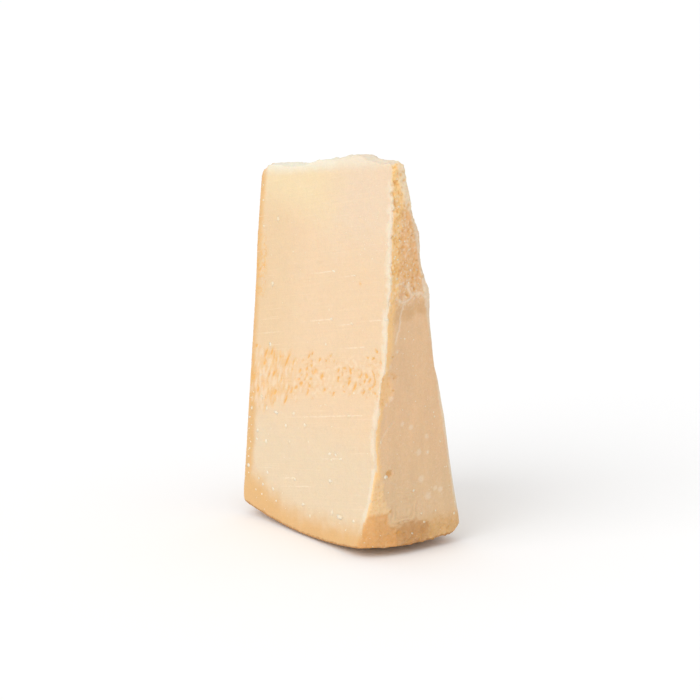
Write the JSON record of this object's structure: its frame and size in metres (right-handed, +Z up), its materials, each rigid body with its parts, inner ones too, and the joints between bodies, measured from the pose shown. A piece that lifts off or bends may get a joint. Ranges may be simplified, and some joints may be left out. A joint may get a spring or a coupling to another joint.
{
  "type": "parmesan chunk",
  "caption": "Tall wedge of hard grana cheese standing on its curved outer rind, with two knife-cut sides, one broken side, a flat rind side and a thin snapped tip.",
  "frame": {"origin": "on the supporting surface, under the middle of the part's box", "axes": "+Z up from the outer rind to the snapped tip at the wheel's centre, +Y along the wheel's own axis to its flat rind, -Y to the broken side, -X to the smooth cut side, +X to the other cut side"},
  "size_m": [0.059, 0.1102, 0.1912],
  "materials": {
    "cheese": "dense pale straw paste with a slight waxy sheen, tan towards the rind, golden brown and dry on the rind",
    "crystal": "chalky cream-white ripening crystals, dry and matt"
  },
  "bodies": {
    "root": {"cheese_chunk": "cheese"}
  },
  "joints": []
}
